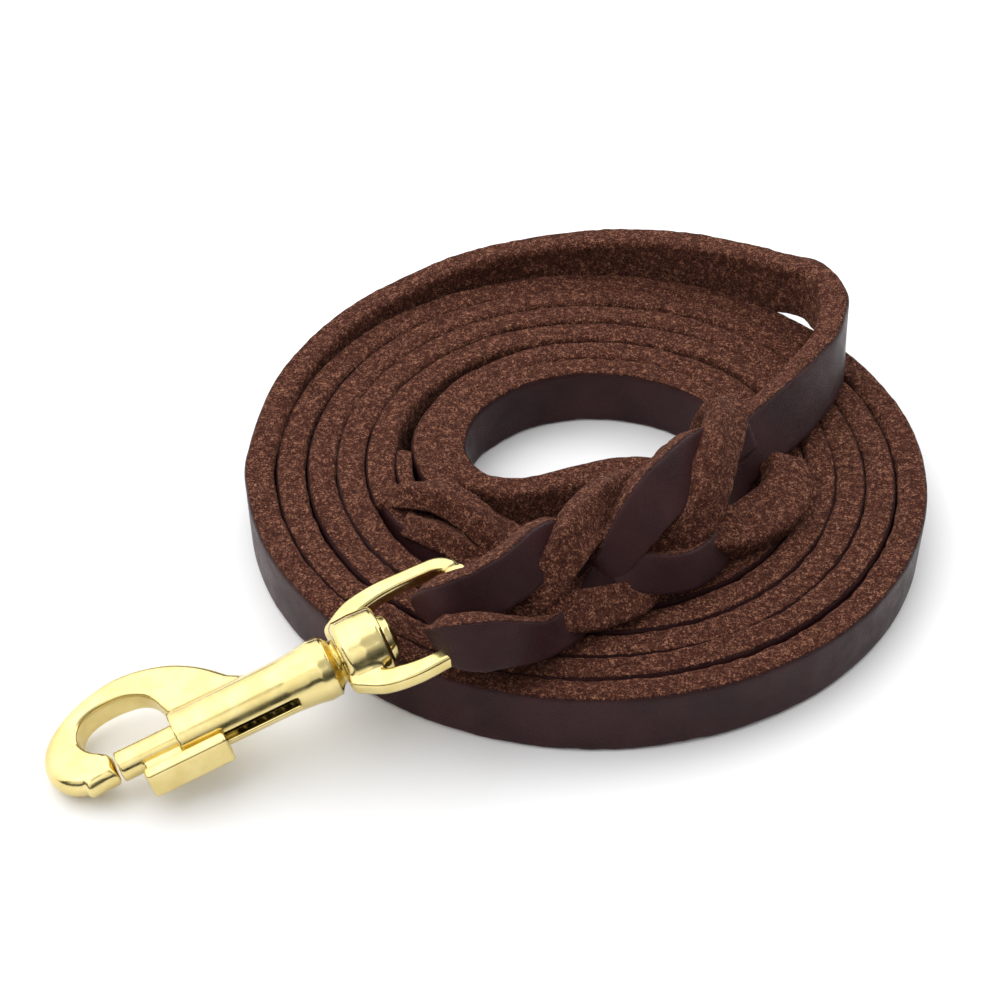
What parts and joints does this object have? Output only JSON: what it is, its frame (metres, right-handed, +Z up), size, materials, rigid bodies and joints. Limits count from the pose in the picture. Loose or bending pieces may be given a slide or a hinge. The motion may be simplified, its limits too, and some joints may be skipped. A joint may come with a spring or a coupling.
{
  "type": "training leash",
  "caption": "Coiled braided-leather training leash with a doubled hand loop, and a brass swivel bolt snap that hooks to a collar ring.",
  "frame": {"origin": "on the table, under the middle of the coiled leash's box", "axes": "+Z up from the table; the snap lies at the low-X, low-Y corner and points to -X and -Y"},
  "size_m": [0.1433, 0.1366, 0.0282],
  "materials": {
    "leather": "oiled bridle leather, satin grain face",
    "suede_edge": "raw flesh side and cut edge, rough",
    "brass": "polished cast brass",
    "spring_steel": "drawn wire"
  },
  "bodies": {
    "root": {"strap_coil": "leather", "strap_rise": "leather", "snap_braid": "leather", "snap_braid_tail": "leather", "bow_loop": "leather", "handle_braid": "leather", "handle_braid_tail": "leather", "hand_loop": "leather"},
    "bow": {"swivel_bow": "brass"},
    "snap": {"snap_body": "brass", "swivel_rivet": "brass", "bolt_spring": "spring_steel"},
    "bolt": {"bolt": "brass"}
  },
  "joints": [
    {"name": "bow_pivot", "type": "hinge", "parent": "root", "child": "bow", "pos_m": [-0.0054, -0.0393, 0.0206], "axis": [-0.4067, 0.9135, 0], "range_deg": [0, 110]},
    {"name": "swivel_spin", "type": "hinge", "parent": "bow", "child": "snap", "pos_m": [-0.02306, -0.04716, 0.01546], "axis": [-0.8828, -0.3931, -0.2571], "continuous": true},
    {"name": "bolt_slide", "type": "slide", "parent": "snap", "child": "bolt", "axis": [0.8828, 0.3931, 0.2571], "range_m": [0, 0.0095], "stiffness_N_per_m": 600, "springref_m": -0.005, "deforming": ["bolt_spring"]}
  ]
}
